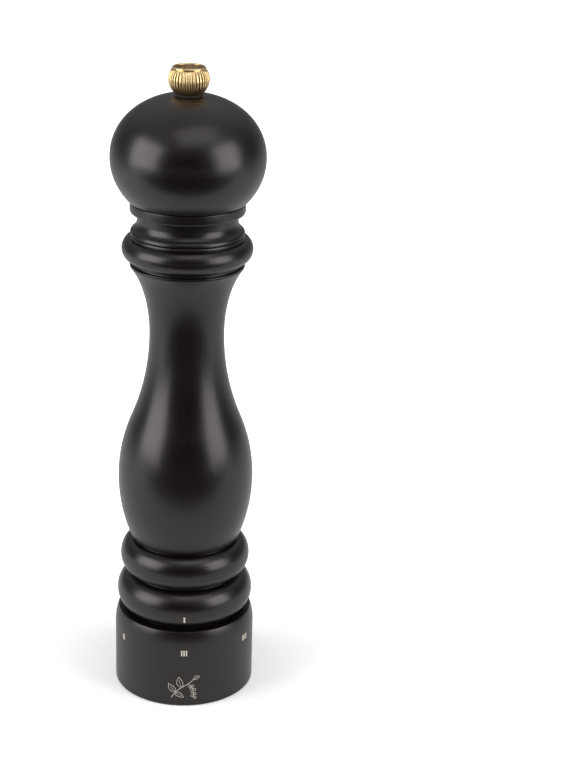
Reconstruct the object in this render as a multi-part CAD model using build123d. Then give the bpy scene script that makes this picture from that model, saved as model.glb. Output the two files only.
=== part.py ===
from build123d import *
import math
import os

# Tall turned pepper mill with a grind selector in its base. Millimetres, +Z up.
# Origin: centre of the base, on the surface it stands on. The front (the marks) faces -Y.

# ---- outside of the mill ----
TOTAL_H = 300.0           # base to top of the knob
BASE_R = 33.2             # straight side of the base ring
BASE_TOP_Z = 38.8
BASE_EDGE_R = 1.2         # rounding of the foot
BASE_SHOULDER = (6.26, 30.7, 12.0)   # rounded top edge: radial size, where it starts, axial size
PARTING_GAP = 0.5         # between the base ring and the body
BODY_Z0 = BASE_TOP_Z + PARTING_GAP
BODY_TOP_Z = 239.4
HEAD_GAP = 0.3            # between the collar and the head
HEAD_Z0 = BODY_TOP_Z + HEAD_GAP
HEAD_R = 34.9
HEAD_EQUATOR_Z = 259.4
HEAD_UP_H = 28.65         # dome above the equator
HEAD_LOW_H = 30.25        # full depth of the lower dome, before it is cut flat
HEAD_UP_POWER = 2.08      # 2 is an ellipse; more is squarer
HEAD_LOW_POWER = 2.015
HEAD_FOOT_TANGENT = (0.75, 0.66)
HEAD_TOP_TANGENT = (-1, 0.16)
KNOB_SEAT_Z = 287.2       # flat on top of the head
KNOB_SEAT_R = 6.6

BELLY_R = 31.6
BELLY_Z = 106.2
BELLY_FOOT_R = 25.3
BELLY_FOOT_Z = 75.5
BELLY_SHARE = 0.41        # part of the climb to the neck that is still convex
NECK_R = 17.2
NECK_Z = 177.2
FLARE_R = 26.1
FLARE_Z = 209.4
FLARE_HALF_R = 19.45      # radial half size of the ellipse that the flare follows
FLARE_RIM_Z = 210.5

# turned rings of the body: centre radius, centre height, radial and axial half sizes
LOW_RING = (24.65, 48.0, 7.5, 9.3)
MID_RING = (24.15, 66.3, 6.45, 8.5)
TOP_RING = (24.0, 217.7, 5.8, 5.85)
TOP_BEAD = (24.75, 223.3, 1.1, 1.3)
LOW_RING_TOP_Z = 57.2
MID_RING_SPAN = (57.95, 74.6)
TOP_RING_SPAN = (213.6, 222.6)
TOP_BEAD_SPAN = (222.7, 224.3)

# grooves between them: radius, lowest and highest height
RING_GROOVE = (25.2, 57.35, 57.9)
BELLY_GROOVE = (24.3, 74.7, 75.4)
FLARE_GROOVE = (24.9, 210.8, 213.4)
BEAD_GROOVE = (24.8, 224.4, 224.7)

SWELL_R = 25.95           # swelling under the collar: widest radius, its height, its rounding
SWELL_Z = 224.9
SWELL_ROUND = 2.2
COLLAR_NECK_R = 22.85     # narrowest place between the swelling and the collar
COLLAR_NECK_Z = 230.9
COLLAR_R = 26.1
COLLAR_Z0 = 234.4
COLLAR_EDGE = 0.4

# ---- bores and joints of the wood ----
CHAMBER_R = 17.0
CHAMBER_TOP_Z = 138.0
NECK_BORE_R = 12.5
NECK_BORE_Z = 150.0
SOCKET_R = 15.5           # top of the body, which takes the head's spigot
SOCKET_Z = 231.3
SPIGOT_R = 15.2
SPIGOT_Z = 233.3
HEAD_BORE_R = 4.7         # clears the square bar

# ---- spindle, drive plate and knob ----
FIT = 0.05                # radial clearance of parts that turn in each other
SLIDE = 0.1               # extra side length of a square hole that slides on the bar
SPINDLE_SIDE = 6.0        # square bar
SPINDLE_Z0 = 17.5
SPINDLE_ROUND_Z = 244.0   # square below, round above
SPINDLE_THREAD_Z = 287.9
SPINDLE_TOP_Z = 296.0
SPINDLE_TIP_CHAMFER = 0.5
THREAD_R = 2.5
PLATE_R = 13.0
PLATE_T = 1.4
WASHER_R = 6.2
WASHER_T = 0.8
KNOB_Z0 = KNOB_SEAT_Z + WASHER_T
KNOB_FOOT = (5.8, 288.0)  # side of the knob: radius, height
KNOB_WAIST = (9.15, 293.9)
KNOB_SHOULDER = (7.7, 298.7)
KNOB_RIM_R = 7.5
KNOB_RIM_H = 1.0
RECESS_R = 6.3            # recess in the knob, which takes the badge
RECESS_DEPTH = 1.0
FLUTES = 36
FLUTE_R = 0.42
BADGE_T = 0.6
BADGE_RING = (5.2, 4.8, 0.25)   # raised ring on the badge: outer, inner radius, height

# ---- housing, guide and clips ----
SLEEVE_R = 20.5           # housing sleeve, on which the base ring turns
SLEEVE_BORE_R = 17.0
SLEEVE_Z0 = 1.0
FLANGE_R = 26.5
FLANGE_T = 3.0
FLANGE_Z0 = BODY_Z0 - FLANGE_T
POCKET_R = 21.5           # pocket in the foot of the body, which takes the housing
POCKET_TOP_Z = 54.2
STATOR_LEDGE = (15.6, 33.0, 36.0)   # inner radius, foot and top of the ledge over the stator
BRIDGE_SLOT_TOP_Z = 15.0
BRIDGE_SLOT_GAP = 0.15
SPIDER_R = 19.0
SPIDER_Z0 = 50.4
SPIDER_ARM_W = 2.8
HUB_R = 7.4
HUB_Z0 = 48.0
BUSH_R = 5.5
BUSH_HEAD = (6.8, 1.0)    # radius and height
CLIP_IN_R = 3.5
CLIP_OUT_R = 6.4
CLIP_T = 0.8
CLIP_Z = (HUB_Z0 - 0.95, POCKET_TOP_Z + 0.8)
CLIP_MOUTH_W = 4.4
SPRING_WASHER = (7.0, 4.4, 1.05)    # outer, inner radius, thickness
SPRING_WIRE_R = 0.55
SPRING_COIL_R = 5.4
SPRING_TURNS = 5

# ---- grinding pair ----
STATOR_R = SLEEVE_BORE_R
STATOR_Z0 = 19.0
STATOR_Z1 = 31.0
STATOR_MOUTH_R = 15.2
STATOR_KNEE = (12.9, 23.6)    # tightest place of the stator: radius, height
STATOR_FOOT_Z = 19.9
STATOR_GROOVES = 24
STATOR_GROOVE_SIDE = 1.3
ROTOR_TOP = (8.0, 33.0)
ROTOR_KNEE = (12.2, 23.5)
ROTOR_FOOT = (14.7, 19.5)
ROTOR_SKIRT_Z = 18.5
ROTOR_HUB = (5.5, 14.05)      # radius and foot of the hub
ROTOR_END = (3.5, 10.9)       # radius and foot of the pin that turns in the bridge
ROTOR_SQUARE_Z = 15.5
COARSE_TEETH = 9
COARSE_SIDE = 2.6
FINE_TEETH = 36
FINE_SIDE = 0.9

# ---- selector: cam ring, bridge, index ring ----
BRIDGE_Z0 = 10.55
BRIDGE_T = 3.0
BRIDGE_W = 7.0
BRIDGE_EYE_R = 8.5
BRIDGE_BORE_R = 5.2
BRIDGE_FOOT_W = 4.0
FOOT_Z = 9.05             # underside of the bridge's feet at rest
INNER_TRACK = (20.9, 22.7)
OUTER_TRACK = (22.9, 24.7)
TRACK_GAP = 0.1           # between the foot and the side of its track
RAMP_TOP_Z = 9.0          # height of both ramps under the feet at rest
LIFT_PER_TURN = 2.155     # rise of the ramps, and of the rotor, per turn of the base ring
TURN_UP = 128.0           # degrees of ramp above and below the rest height, with 8 to spare
TURN_DOWN = 188.0
RAMP_ROOT = 0.5           # how far the ramps reach down into the ring

CAM_R = 24.9
CAM_IN_R = SLEEVE_R + 0.1
CAM_FLANGE_R = 29.8
CAM_Z0 = 3.0
CAM_FLANGE_T = 3.0
CAM_FLANGE_TOP_Z = CAM_Z0 + CAM_FLANGE_T
CAM_FLOOR_Z = 7.0
BASE_POCKET_TOP_Z = 18.0
FLANGE_POCKET_R = FLANGE_R + 0.6
FLANGE_POCKET_Z = FLANGE_Z0 - 0.5
LINER_R = 22.6
DETENTS = 6
NOTCH = (20.3, 1.55)      # detent notches: pitch radius, radius
DETENT_Z = 27.5
DETENT_H = 6.6
DETENT_POCKET = (18.9, 21.0, 8.0)   # inner radius, width, height
LEAF = (19.4, 18.95, 20.0)          # outer, inner radius, width
NOSE = (19.9, 1.3, 0.9)             # pitch radius, outer, inner radius
SNAP_IN_R = 19.7
SNAP_OUT_R = 22.4
SNAP_Z0 = 1.8
SNAP_T = 1.0
STATOR_CLIP_OUT_R = 17.8
STATOR_CLIP_IN_R = 15.8
STATOR_CLIP_T = 0.9
RING_MOUTH_W = 5.0        # opening of the two wire rings

# ---- screws, three of each ----
HOUSING_SCREW = dict(r_head=2.4, r_shank=1.3, head_h=1.6, length=9.0, pitch_r=23.8, z0=FLANGE_Z0)
CAM_SCREW = dict(r_head=2.2, r_shank=1.2, head_h=1.4, length=9.0, pitch_r=27.2, z0=CAM_Z0)
PLATE_SCREW = dict(r_head=1.7, r_shank=0.9, head_h=1.0, length=6.0, pitch_r=9.6,
                   z0=SPIGOT_Z - PLATE_T)
SLOT_W = 0.5
HOUSING_SCREW_START = 30.0
CAM_SCREW_START = 90.0


# ---- helpers ----
def turned(*edges):
    """Solid of revolution about Z, from edges drawn with X as radius and Y as height."""
    return revolve(Plane.XZ * make_face(Curve() + list(edges)), axis=Axis.Z)


def disc(r, z0, z1):
    return Pos(0, 0, (z0 + z1) / 2) * Cylinder(r, z1 - z0)


def tube(r_out, r_in, z0, z1):
    """Plain ring between two heights."""
    return disc(r_out, z0, z1) - disc(r_in, z0, z1)


def square_bar(side, z0, z1):
    return Pos(0, 0, (z0 + z1) / 2) * Box(side, side, z1 - z0)


def block(x0, x1, y0, y1, z0, z1):
    return Pos((x0 + x1) / 2, (y0 + y1) / 2, (z0 + z1) / 2) * Box(x1 - x0, y1 - y0, z1 - z0)


def back_block(width, z0, z1):
    """Block that picks out the back (+Y) of a ring."""
    return block(-width / 2, width / 2, 0, BASE_R, z0, z1)


def around(shape, count, start=0.0):
    """The same shape, count times round the Z axis."""
    return [Rot(0, 0, start + i * 360 / count) * shape for i in range(count)]


def bulge(ring, z_low, z_high):
    """Convex stretch of a turned ring's outline, from one height up to another."""
    r, z, half_r, half_z = ring
    low = math.degrees(math.asin((z_low - z) / half_z))
    high = math.degrees(math.asin((z_high - z) / half_z))
    return EllipticalCenterArc((r, z), half_r, half_z, low, arc_size=high - low)


def groove(place):
    r, z_low, z_high = place
    return Line((r, z_low), (r, z_high))


def vertical_arc(r_peak, z_peak, radius, z_end):
    """Arc that stands upright at its peak; a negative radius hollows it."""
    def at(z):
        side = math.copysign(math.sqrt(radius ** 2 - (z - z_peak) ** 2), radius)
        return (r_peak - radius + side, z)
    points = [at(z_peak), at((z_peak + z_end) / 2), at(z_end)]
    if z_end < z_peak:
        points.reverse()
    return ThreePointArc(*points)


def upright_s(r_wide, z_wide, r_narrow, z_narrow, round_radius=None, share=None):
    """Convex arc at the wide place running smoothly into a hollow one at the narrow place."""
    drop, climb = r_wide - r_narrow, z_narrow - z_wide
    both = (drop ** 2 + climb ** 2) / (2 * drop)
    if round_radius is None:
        round_radius = share * both
    z_meet = z_wide + climb * round_radius / both
    return [vertical_arc(r_wide, z_wide, round_radius, z_meet),
            vertical_arc(r_narrow, z_narrow, round_radius - both, z_meet)]


def joined(edges):
    """Edges in order, with straight lines wherever one doesn't start where the last one ended."""
    out = []
    for edge in edges:
        if out and (out[-1] @ 1 - edge @ 0).length > 1e-6:
            out.append(Line(out[-1] @ 1, edge @ 0))
        out.append(edge)
    out.append(Line(out[-1] @ 1, out[0] @ 0))
    return out


def leaning_cutter(r, z, lean, tilt, side, length):
    """Square bar on edge that cuts a slanting tooth groove into a cone."""
    return Pos(r, 0, z) * (Rot(lean, tilt, 0) * (Rot(0, 0, 45) * Box(side, side, length)))


# ---- screws ----
def screw_body(screw, slotted):
    """Countersunk screw with its head down, at its place on the +X side."""
    r_head, r_shank, head_h = screw["r_head"], screw["r_shank"], screw["head_h"]
    body = Pos(0, 0, head_h / 2) * Cone(r_head, r_shank, head_h)
    body += disc(r_shank, head_h, screw["length"])
    if slotted:
        body -= block(-r_head, r_head, -SLOT_W / 2, SLOT_W / 2, 0, SLOT_W)
    return Pos(screw["pitch_r"], 0, screw["z0"]) * body


def make_screws(screw, start):
    return Compound(children=around(screw_body(screw, True), 3, start))


def screw_holes(screw, start):
    return around(screw_body(screw, False), 3, start)


# ---- wood ----
def make_body():
    belly_drop, belly_climb = BELLY_R - BELLY_FOOT_R, BELLY_Z - BELLY_FOOT_Z
    belly_low_radius = (belly_drop ** 2 + belly_climb ** 2) / (2 * belly_drop)
    flare_reach = (NECK_R + FLARE_HALF_R - FLARE_R) / FLARE_HALF_R
    flare_half_z = (FLARE_Z - NECK_Z) / math.sqrt(1 - flare_reach ** 2)
    flare = EllipticalCenterArc(
        (NECK_R + FLARE_HALF_R, NECK_Z), FLARE_HALF_R, flare_half_z,
        180, arc_size=-math.degrees(math.acos(flare_reach)))
    collar_foot = ThreePointArc((COLLAR_R - 1.0, COLLAR_Z0), (COLLAR_R - 0.3, COLLAR_Z0 + 0.3),
                                (COLLAR_R, COLLAR_Z0 + 1.0))
    outside = [
        bulge(LOW_RING, BODY_Z0, LOW_RING_TOP_Z),
        groove(RING_GROOVE),
        bulge(MID_RING, *MID_RING_SPAN),
        groove(BELLY_GROOVE),
        vertical_arc(BELLY_R, BELLY_Z, belly_low_radius, BELLY_FOOT_Z),
        *upright_s(BELLY_R, BELLY_Z, NECK_R, NECK_Z, share=BELLY_SHARE),
        flare,
        Line((FLARE_R, FLARE_Z), (FLARE_R, FLARE_RIM_Z)),
        groove(FLARE_GROOVE),
        bulge(TOP_RING, *TOP_RING_SPAN),
        bulge(TOP_BEAD, *TOP_BEAD_SPAN),
        groove(BEAD_GROOVE),
        *upright_s(SWELL_R, SWELL_Z, COLLAR_NECK_R, COLLAR_NECK_Z, round_radius=SWELL_ROUND),
        Line((COLLAR_NECK_R, COLLAR_NECK_Z), (COLLAR_NECK_R, COLLAR_Z0 - 0.3)),
        collar_foot,
        Line((COLLAR_R, BODY_TOP_Z - COLLAR_EDGE), (COLLAR_R - COLLAR_EDGE, BODY_TOP_Z)),
    ]
    inside = Polyline(
        (SOCKET_R, BODY_TOP_Z), (SOCKET_R, SOCKET_Z), (NECK_BORE_R, SOCKET_Z),
        (NECK_BORE_R, NECK_BORE_Z), (CHAMBER_R, CHAMBER_TOP_Z), (CHAMBER_R, POCKET_TOP_Z),
        (POCKET_R, POCKET_TOP_Z), (POCKET_R, BODY_Z0))
    shell = turned(*joined(outside + [inside]))
    return shell - screw_holes(HOUSING_SCREW, HOUSING_SCREW_START)


def make_head():
    def dome(t, height, power):
        r = HEAD_R * math.cos(t) ** (2 / power)
        return (r, HEAD_EQUATOR_Z + height * math.sin(t) ** (2 / power))
    cut = math.asin(((HEAD_EQUATOR_Z - HEAD_Z0) / HEAD_LOW_H) ** (HEAD_LOW_POWER / 2))
    seat = math.asin(((KNOB_SEAT_Z - HEAD_EQUATOR_Z) / HEAD_UP_H) ** (HEAD_UP_POWER / 2))
    spans = 8
    low = [dome(cut * (1 - i / spans), -HEAD_LOW_H, HEAD_LOW_POWER) for i in range(spans + 1)]
    high = [dome(seat * i / spans, HEAD_UP_H, HEAD_UP_POWER) for i in range(spans + 1)]
    lower = Spline(*low, tangents=[HEAD_FOOT_TANGENT, (0, 1)])
    upper = Spline(*high, tangents=[(0, 1), HEAD_TOP_TANGENT])
    shaft_r, square_top_z = SPINDLE_SIDE / 2 + 0.3, SPINDLE_ROUND_Z + 3
    inside = Polyline(
        (KNOB_SEAT_R, KNOB_SEAT_Z), (shaft_r, KNOB_SEAT_Z), (shaft_r, square_top_z),
        (HEAD_BORE_R, square_top_z), (HEAD_BORE_R, SPIGOT_Z), (SPIGOT_R, SPIGOT_Z),
        (SPIGOT_R, HEAD_Z0))
    return turned(*joined([lower, upper, inside])) - screw_holes(PLATE_SCREW, 0)


def make_base_ring():
    shoulder_r, shoulder_z, shoulder_h = BASE_SHOULDER
    top = math.degrees(math.asin((BASE_TOP_Z - shoulder_z) / shoulder_h))
    shoulder = EllipticalCenterArc((BASE_R - shoulder_r, shoulder_z), shoulder_r, shoulder_h,
                                   0, arc_size=top)
    foot = CenterArc((BASE_R - BASE_EDGE_R, BASE_EDGE_R), BASE_EDGE_R, -90, arc_size=90)
    inside = Polyline(
        (FLANGE_POCKET_R, BASE_TOP_Z), (FLANGE_POCKET_R, FLANGE_POCKET_Z),
        (LINER_R, FLANGE_POCKET_Z), (LINER_R, BASE_POCKET_TOP_Z), (CAM_R, BASE_POCKET_TOP_Z),
        (CAM_R, CAM_FLANGE_TOP_Z), (CAM_FLANGE_R, CAM_FLANGE_TOP_Z), (CAM_FLANGE_R, 0))
    return turned(*joined([foot, shoulder, inside])) - screw_holes(CAM_SCREW, CAM_SCREW_START)


# ---- knob ----
def make_knob():
    side = ThreePointArc(KNOB_FOOT, KNOB_WAIST, KNOB_SHOULDER)
    rim = ThreePointArc((KNOB_RIM_R, TOTAL_H - KNOB_RIM_H), (KNOB_RIM_R - 0.05, TOTAL_H - 0.35),
                        (KNOB_RIM_R - 0.6, TOTAL_H))
    recess_z, nut_top_z = TOTAL_H - RECESS_DEPTH, SPINDLE_TOP_Z + 1
    inside = Polyline(
        (RECESS_R, TOTAL_H), (RECESS_R, recess_z), (0, recess_z), (0, nut_top_z),
        (THREAD_R + FIT, nut_top_z), (THREAD_R + FIT, KNOB_Z0))
    blank = turned(*joined([side, rim, inside]))
    lift = 0.15               # how far outside the surface the flute cutter runs
    path = Plane.XZ * ThreePointArc(
        (KNOB_FOOT[0] + lift, KNOB_FOOT[1] - 2 * lift), (KNOB_WAIST[0] + lift, KNOB_WAIST[1]),
        (KNOB_SHOULDER[0] + lift, KNOB_SHOULDER[1] + lift))
    cutter = sweep(Plane(path @ 0, z_dir=path % 0) * Circle(FLUTE_R), path=path)
    return blank - around(cutter, FLUTES)


def make_knob_badge():
    z0 = TOTAL_H - RECESS_DEPTH
    ring_out, ring_in, ring_h = BADGE_RING
    return disc(RECESS_R, z0, z0 + BADGE_T) + tube(ring_out, ring_in, z0 + BADGE_T,
                                                   z0 + BADGE_T + ring_h)


# ---- spindle and head drive ----
def make_spindle():
    square = square_bar(SPINDLE_SIDE, SPINDLE_Z0, SPINDLE_ROUND_Z)
    square -= [tube(SPINDLE_SIDE, CLIP_IN_R, z, z + CLIP_T) for z in CLIP_Z]
    plain = disc(SPINDLE_SIDE / 2, SPINDLE_ROUND_Z, SPINDLE_THREAD_Z)
    thread = disc(THREAD_R, SPINDLE_THREAD_Z, SPINDLE_TOP_Z)
    tip = thread.faces().sort_by(Axis.Z)[-1].edges()
    return square + plain + chamfer(tip, SPINDLE_TIP_CHAMFER)


def make_drive_plate():
    z0 = SPIGOT_Z - PLATE_T
    plate = disc(PLATE_R, z0, SPIGOT_Z) - square_bar(SPINDLE_SIDE + 2 * SLIDE, z0, SPIGOT_Z)
    return plate - screw_holes(PLATE_SCREW, 0)


def make_guide_spider():
    ring = tube(SPIDER_R, SLEEVE_BORE_R - 0.3, SPIDER_Z0, POCKET_TOP_Z)
    hub = disc(HUB_R, HUB_Z0, POCKET_TOP_Z - 0.3)
    arm = block(0, SPIDER_R - 1.5, -SPIDER_ARM_W / 2, SPIDER_ARM_W / 2,
                SPIDER_Z0, POCKET_TOP_Z - 0.7)
    return ring + hub + around(arm, 3, 90) - disc(BUSH_R + FIT, HUB_Z0, POCKET_TOP_Z)


def make_guide_bush():
    z0, z_top = HUB_Z0 - 0.1, POCKET_TOP_Z - 0.25
    head_r, head_h = BUSH_HEAD
    bush = disc(BUSH_R, z0, z_top) + disc(head_r, z_top, z_top + head_h)
    return bush - square_bar(SPINDLE_SIDE + SLIDE, z0, z_top + head_h)


def make_clips():
    ring = tube(CLIP_OUT_R, CLIP_IN_R, 0, CLIP_T)
    ring -= block(0, CLIP_OUT_R + 1, -CLIP_MOUTH_W / 2, CLIP_MOUTH_W / 2, 0, CLIP_T)
    return Compound(children=[Pos(0, 0, z) * ring for z in CLIP_Z])


def make_spring_washer():
    r_out, r_in, thick = SPRING_WASHER
    z_top = CLIP_Z[0] - FIT
    return tube(r_out, r_in, z_top - thick, z_top)


def make_rotor_spring():
    clear = SPRING_WIRE_R + 0.02
    z0, z1 = ROTOR_TOP[1] + clear, CLIP_Z[0] - FIT - SPRING_WASHER[2] - clear
    path = Helix((z1 - z0) / SPRING_TURNS, z1 - z0, SPRING_COIL_R, center=(0, 0, z0))
    section = Plane(path @ 0, z_dir=path % 0) * Circle(SPRING_WIRE_R)
    return sweep(section, path=path)


# ---- grinding pair ----
def make_rotor():
    hub_r, hub_z = ROTOR_HUB
    end_r, end_z = ROTOR_END
    body = turned(Polyline(
        (0, end_z), (end_r, end_z), (end_r, hub_z), (hub_r, hub_z), (hub_r, ROTOR_SKIRT_Z),
        (ROTOR_FOOT[0], ROTOR_SKIRT_Z), ROTOR_FOOT, ROTOR_KNEE, ROTOR_TOP, (0, ROTOR_TOP[1]),
        close=True))
    top_slope = math.degrees(math.atan2(ROTOR_KNEE[0] - ROTOR_TOP[0],
                                        ROTOR_TOP[1] - ROTOR_KNEE[1]))
    foot_slope = math.degrees(math.atan2(ROTOR_FOOT[0] - ROTOR_KNEE[0],
                                         ROTOR_KNEE[1] - ROTOR_FOOT[1]))
    coarse = leaning_cutter(10.6, 28.2, 30, -top_slope, COARSE_SIDE, 14)
    fine = leaning_cutter(13.75, 21.0, 22, -foot_slope, FINE_SIDE, 8)
    body -= around(coarse, COARSE_TEETH)
    body -= around(fine, FINE_TEETH)
    return body - square_bar(SPINDLE_SIDE + SLIDE, ROTOR_SQUARE_Z, ROTOR_TOP[1])


def make_stator():
    body = turned(Polyline(
        (STATOR_R, STATOR_Z0), (STATOR_R, STATOR_Z1), (STATOR_MOUTH_R, STATOR_Z1), STATOR_KNEE,
        (STATOR_MOUTH_R, STATOR_FOOT_Z), (STATOR_MOUTH_R, STATOR_Z0), close=True))
    rake = math.degrees(math.atan2(STATOR_MOUTH_R - STATOR_KNEE[0], STATOR_Z1 - STATOR_KNEE[1]))
    coarse = leaning_cutter(14.1, 27.4, -22, rake, STATOR_GROOVE_SIDE, 12)
    return body - around(coarse, STATOR_GROOVES)


# ---- housing and detent ----
def make_housing():
    ledge_r, ledge_z, ledge_top_z = STATOR_LEDGE
    body = turned(Polyline(
        (SLEEVE_R, SLEEVE_Z0), (SLEEVE_R, FLANGE_Z0), (FLANGE_R, FLANGE_Z0), (FLANGE_R, BODY_Z0),
        (POCKET_R, BODY_Z0), (POCKET_R, POCKET_TOP_Z), (SPIDER_R, POCKET_TOP_Z),
        (SPIDER_R, SPIDER_Z0), (SLEEVE_BORE_R, SPIDER_Z0), (SLEEVE_BORE_R, ledge_top_z),
        (ledge_r, ledge_z), (ledge_r, STATOR_Z1), (SLEEVE_BORE_R, STATOR_Z1),
        (SLEEVE_BORE_R, SLEEVE_Z0), close=True))
    half_slot = BRIDGE_W / 2 + BRIDGE_SLOT_GAP
    body -= block(-BASE_R, BASE_R, -half_slot, half_slot, 0, BRIDGE_SLOT_TOP_Z)
    body -= tube(SLEEVE_R + 1, SNAP_IN_R, SNAP_Z0 - FIT, SNAP_Z0 + SNAP_T + FIT)
    body -= tube(STATOR_CLIP_OUT_R, SLEEVE_BORE_R - 1, STATOR_Z0 - STATOR_CLIP_T, STATOR_Z0)
    pocket_r, pocket_w, pocket_h = DETENT_POCKET
    z0, z1 = DETENT_Z - pocket_h / 2, DETENT_Z + pocket_h / 2
    body -= tube(SLEEVE_R + 1, pocket_r, z0, z1) & back_block(pocket_w, z0, z1)
    return body - screw_holes(HOUSING_SCREW, HOUSING_SCREW_START)


def make_detent_spring():
    z0, z1 = DETENT_Z - DETENT_H / 2, DETENT_Z + DETENT_H / 2
    leaf_out, leaf_in, leaf_w = LEAF
    nose_y, nose_out, nose_in = NOSE
    leaf = tube(leaf_out, leaf_in, z0, z1) & back_block(leaf_w, z0, z1)
    nose = Pos(0, nose_y, 0) * tube(nose_out, nose_in, z0, z1)
    return leaf + (nose - disc(leaf_out - 0.2, z0, z1))


def make_index_ring():
    notch_pitch_r, notch_r = NOTCH
    z0, z1 = BASE_POCKET_TOP_Z + 0.2, FLANGE_POCKET_Z
    notch = Pos(0, notch_pitch_r, 0) * disc(notch_r, z0 - 1, z1 + 1)
    return tube(LINER_R, CAM_IN_R, z0, z1) - around(notch, DETENTS)


def make_wire_ring(r_out, r_in, z0, thick):
    """Flat retaining ring with its mouth at the back."""
    return tube(r_out, r_in, z0, z0 + thick) - back_block(RING_MOUTH_W, z0, z0 + thick)


# ---- cam and bridge ----
def ramp(track, foot_angle):
    """Helical ramp that falls counter-clockwise, at the rest height under foot_angle."""
    r_in, r_out = track
    r_mid = (r_in + r_out) / 2
    rise = LIFT_PER_TURN * (TURN_UP + TURN_DOWN) / 360
    low_z = RAMP_TOP_Z - LIFT_PER_TURN * TURN_DOWN / 360
    depth = low_z + rise - CAM_FLOOR_Z + RAMP_ROOT
    path = Helix(LIFT_PER_TURN, rise, r_mid, lefthand=True)
    strip = Pos(r_mid, 0, -depth / 2) * (Plane.XZ * Rectangle(r_out - r_in, depth))
    wedge = sweep(strip, path=path, is_frenet=True)
    return Pos(0, 0, low_z) * (Rot(0, 0, foot_angle + TURN_DOWN) * wedge)


def make_cam_ring():
    body = tube(CAM_FLANGE_R, CAM_IN_R, CAM_Z0, CAM_FLANGE_TOP_Z)
    body += tube(CAM_R, CAM_IN_R, CAM_Z0, CAM_FLOOR_Z)
    body += [ramp(INNER_TRACK, 0), ramp(OUTER_TRACK, 180)]
    return body - screw_holes(CAM_SCREW, CAM_SCREW_START)


def make_bridge():
    top = BRIDGE_Z0 + BRIDGE_T
    right, left = INNER_TRACK[1] - TRACK_GAP, -OUTER_TRACK[1] + 2 * TRACK_GAP
    half_w, half_foot = BRIDGE_W / 2, BRIDGE_FOOT_W / 2
    bar = block(left, right, -half_w, half_w, BRIDGE_Z0, top)
    bar += disc(BRIDGE_EYE_R, BRIDGE_Z0, top)
    bar -= disc(BRIDGE_BORE_R, BRIDGE_Z0, top)
    inner_foot = block(INNER_TRACK[0] + TRACK_GAP, right, -half_foot, half_foot, FOOT_Z, BRIDGE_Z0)
    outer_foot = block(left, -OUTER_TRACK[0] - TRACK_GAP, -half_foot, half_foot,
                       FOOT_Z, BRIDGE_Z0)
    return bar + inner_foot + outer_foot


def make_bridge_bush():
    top, hub_z = BRIDGE_Z0 + BRIDGE_T, ROTOR_HUB[1]
    bush = disc(BRIDGE_BORE_R, BRIDGE_Z0, top) + disc(7.0, top, hub_z - 0.03)
    return bush - disc(ROTOR_END[0] + FIT, BRIDGE_Z0, hub_z)


NODES = {
    "knob": make_knob(),
    "knob_badge": make_knob_badge(),
    "knob_washer": tube(WASHER_R, SPINDLE_SIDE / 2 + 0.1, KNOB_SEAT_Z, KNOB_Z0),
    "head": make_head(),
    "drive_plate": make_drive_plate(),
    "drive_plate_screws": make_screws(PLATE_SCREW, 0),
    "mill_body": make_body(),
    "spindle": make_spindle(),
    "guide_spider": make_guide_spider(),
    "guide_bush": make_guide_bush(),
    "spindle_clips": make_clips(),
    "spring_washer": make_spring_washer(),
    "rotor_spring": make_rotor_spring(),
    "rotor": make_rotor(),
    "stator": make_stator(),
    "stator_clip": make_wire_ring(STATOR_CLIP_OUT_R, STATOR_CLIP_IN_R,
                                  STATOR_Z0 - STATOR_CLIP_T, STATOR_CLIP_T),
    "housing": make_housing(),
    "housing_screws": make_screws(HOUSING_SCREW, HOUSING_SCREW_START),
    "bridge": make_bridge(),
    "bridge_bush": make_bridge_bush(),
    "cam_ring": make_cam_ring(),
    "cam_ring_screws": make_screws(CAM_SCREW, CAM_SCREW_START),
    "base_ring": make_base_ring(),
    "index_ring": make_index_ring(),
    "detent_spring": make_detent_spring(),
    "base_snap_ring": make_wire_ring(SNAP_OUT_R, SNAP_IN_R, SNAP_Z0, SNAP_T),
}

os.makedirs("parts", exist_ok=True)
for name, shape in NODES.items():
    export_step(shape, f"parts/{name}.step")
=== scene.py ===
import math
import bpy
import bmesh
from mathutils import Matrix, Vector


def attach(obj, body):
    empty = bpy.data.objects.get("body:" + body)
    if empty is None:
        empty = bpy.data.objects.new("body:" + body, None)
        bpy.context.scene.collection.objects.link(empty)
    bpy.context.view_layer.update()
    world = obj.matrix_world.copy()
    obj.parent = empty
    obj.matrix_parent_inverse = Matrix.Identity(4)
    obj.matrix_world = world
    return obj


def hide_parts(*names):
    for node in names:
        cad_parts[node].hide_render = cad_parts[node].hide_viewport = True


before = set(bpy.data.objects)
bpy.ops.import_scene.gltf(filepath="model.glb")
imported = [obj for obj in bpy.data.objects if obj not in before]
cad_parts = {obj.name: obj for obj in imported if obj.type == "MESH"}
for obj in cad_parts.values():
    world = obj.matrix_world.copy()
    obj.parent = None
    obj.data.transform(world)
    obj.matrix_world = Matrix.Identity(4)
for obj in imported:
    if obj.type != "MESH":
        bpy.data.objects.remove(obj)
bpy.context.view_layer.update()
mm = 0.001
print("frame loaded:", len(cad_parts), "nodes")


def finishMesh(bm, name, material, crispDeg=30):
    # sharp edges stay sharp, everything else shades smoothly
    for face in bm.faces:
        face.smooth = True
    for edge in bm.edges:
        if len(edge.link_faces) == 2:
            edge.smooth = edge.calc_face_angle(0) < math.radians(crispDeg)
    mesh = bpy.data.meshes.new(name)
    bm.to_mesh(mesh)
    bm.free()
    mesh.materials.append(material)
    piece = bpy.data.objects.new(name, mesh)
    bpy.context.scene.collection.objects.link(piece)
    return piece


def swing(centre, radii, fromDeg, toDeg, steps=14):
    # points along part of an ellipse, in mm, radius and height
    points = []
    for i in range(steps + 1):
        a = math.radians(fromDeg + (toDeg - fromDeg) * i / steps)
        points.append((centre[0] + radii[0] * math.cos(a), centre[1] + radii[1] * math.sin(a)))
    return points


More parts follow.
